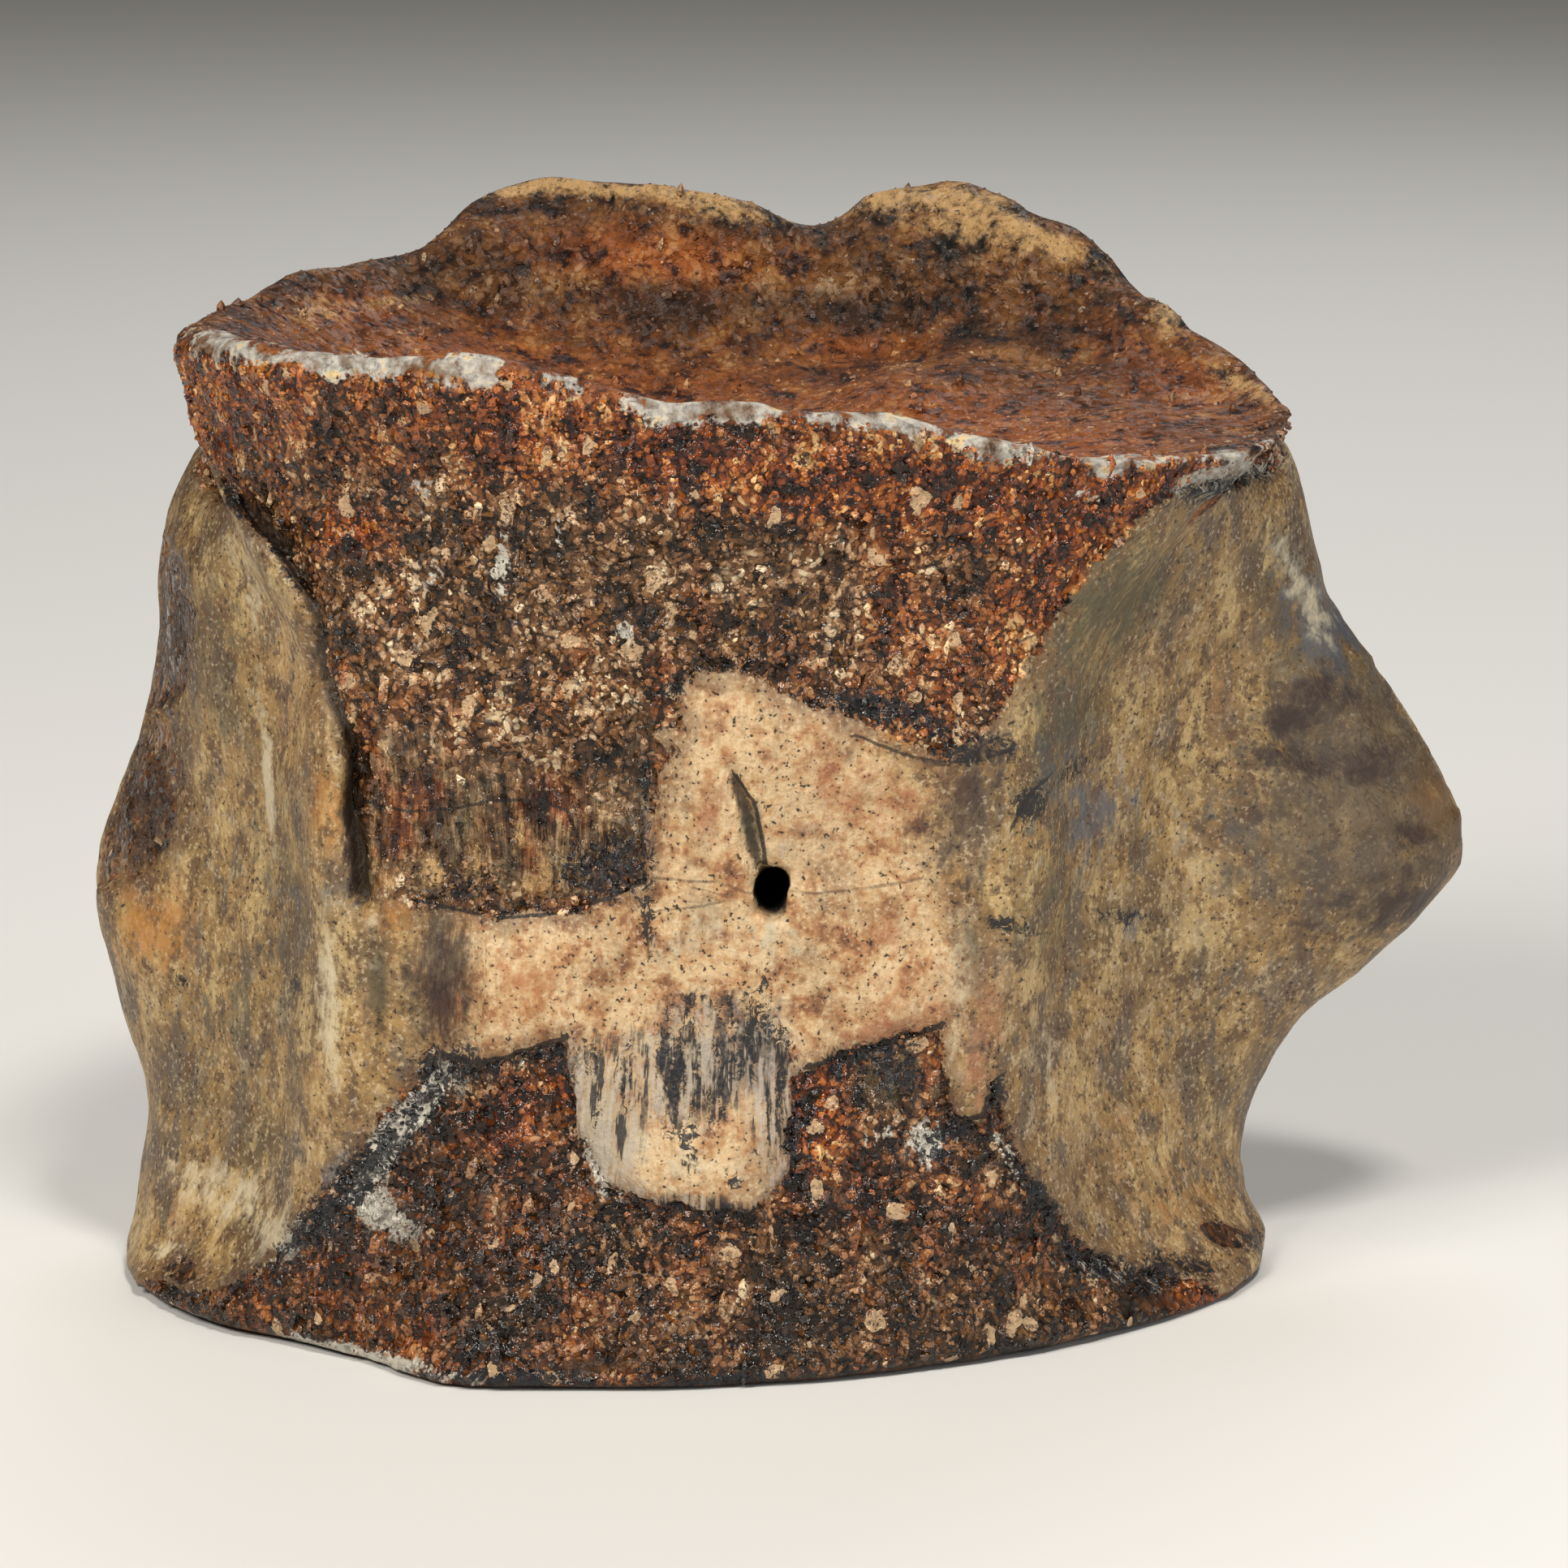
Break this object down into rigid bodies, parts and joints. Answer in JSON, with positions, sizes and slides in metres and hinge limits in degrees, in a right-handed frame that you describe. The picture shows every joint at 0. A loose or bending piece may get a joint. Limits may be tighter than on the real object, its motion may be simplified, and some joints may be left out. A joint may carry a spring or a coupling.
{
  "type": "fossil dinosaur vertebra",
  "caption": "Worn fossil dinosaur tail vertebra, an hourglass spool with hollow flanks, broken side processes and spongy bone laid bare at both ends.",
  "frame": {"origin": "middle of the bounding box at the level on which the bone stands", "axes": "+Z runs from the rear joint face, on which the bone stands, to the front joint face; the belly side with the vessel hole faces -Y, and +X points to the longer side process, which is on the right when the belly side is looked at"},
  "size_m": [0.0621, 0.0408, 0.0471],
  "materials": {
    "bone": "weathered tan and red-brown fossil bone, satin, with sparkling spongy areas"
  },
  "bodies": {
    "root": {"vertebra": "bone"}
  },
  "joints": []
}
